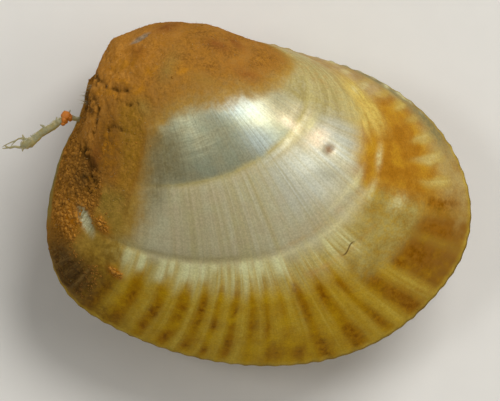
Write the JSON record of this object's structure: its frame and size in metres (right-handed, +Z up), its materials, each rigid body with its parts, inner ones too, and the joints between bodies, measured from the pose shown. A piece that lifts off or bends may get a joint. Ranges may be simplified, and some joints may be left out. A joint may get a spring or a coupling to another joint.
{
  "type": "nut clam shell",
  "caption": "Closed shell of a small nut clam: two thin domed valves meeting at the margin, rust crusted beak and rear end, and a stiff thread held in the crust.",
  "frame": {"origin": "centre of the small flat spot under the left valve that the shell rests on", "axes": "+X towards the long rounded front end, +Y towards the beak and hinge side, +Z up, out of the right valve"},
  "size_m": [0.0155, 0.0113, 0.0081],
  "materials": {
    "shell": "silvery pearly middle, olive yellow rayed edge band, rough rust orange crust over the beak and rear end",
    "thread": "half clear greenish beige fibre with an orange lump and a frayed end"
  },
  "bodies": {
    "root": {"right_valve": "shell", "left_valve": "shell", "thread": "thread"}
  },
  "joints": []
}
